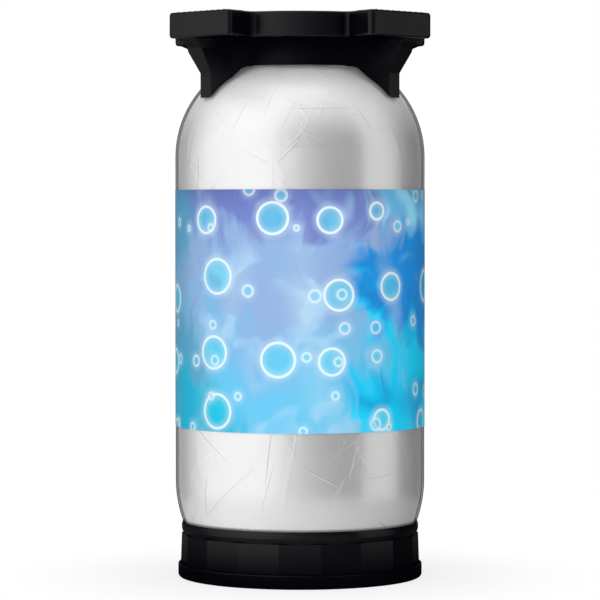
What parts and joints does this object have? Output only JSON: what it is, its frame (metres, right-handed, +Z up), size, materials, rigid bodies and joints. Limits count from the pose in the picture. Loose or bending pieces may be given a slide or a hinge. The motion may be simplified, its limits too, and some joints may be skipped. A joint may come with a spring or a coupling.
{
  "type": "one-way beer keg",
  "caption": "Slim one-way keg: clear blown shell with a foil bag inside, black grip ring with corner ears, black base ring and a sprung two-way valve under a pull-off cap.",
  "frame": {"origin": "middle of the base ring's foot, on the floor", "axes": "+Z up along the keg's axis, -Y the front, +X the right with one of the two hand holds"},
  "size_m": [0.244, 0.244, 0.536],
  "materials": {
    "clear_shell": "clear blown polyester, high gloss",
    "foil": "crinkled satin foil laminate",
    "label_film": "satin printed film",
    "black_plastic": "fine moulded grain, low sheen",
    "closure_plastic": "moulded satin",
    "valve_plastic": "moulded satin",
    "sleeve_plastic": "moulded smooth",
    "tube_plastic": "extruded natural",
    "rubber": "moulded rubber",
    "spring_steel": "bright drawn wire",
    "cap_plastic": "moulded soft satin"
  },
  "bodies": {
    "keg": {"outer_shell": "clear_shell", "liner_bag": "foil", "label": "label_film", "base_ring": "black_plastic", "top_ring": "black_plastic", "closure_ring": "closure_plastic", "neck_seal": "rubber", "valve_body": "valve_plastic", "gas_spring": "spring_steel", "bag_spout": "valve_plastic", "spout_seal": "rubber", "drain_tube": "tube_plastic", "relief_spring": "spring_steel", "relief_cap": "valve_plastic"},
    "gas_sleeve": {"gas_valve": "sleeve_plastic", "gas_seal": "rubber", "product_seal": "rubber", "product_spring": "spring_steel", "product_cage": "valve_plastic"},
    "product_poppet": {"product_valve": "sleeve_plastic"},
    "relief_disc": {"relief_plunger": "sleeve_plastic"},
    "cap": {"dust_cap": "cap_plastic"}
  },
  "joints": [
    {"name": "gas_valve_slide", "type": "slide", "parent": "keg", "child": "gas_sleeve", "axis": [0, 0, -1], "range_m": [0, 0.005], "stiffness_N_per_m": 3000, "springref_m": -0.002, "deforming": ["gas_spring"]},
    {"name": "product_valve_slide", "type": "slide", "parent": "gas_sleeve", "child": "product_poppet", "axis": [0, 0, -1], "range_m": [0, 0.004], "stiffness_N_per_m": 800, "springref_m": -0.002, "deforming": ["product_spring"]},
    {"name": "relief_slide", "type": "slide", "parent": "keg", "child": "relief_disc", "axis": [0, 0, 1], "range_m": [0, 0.0015], "stiffness_N_per_m": 2000, "springref_m": -0.002, "deforming": ["relief_spring"]},
    {"name": "dust_cap_lift", "type": "slide", "parent": "keg", "child": "cap", "axis": [0, 0, 1], "range_m": [0, 0.04]}
  ]
}
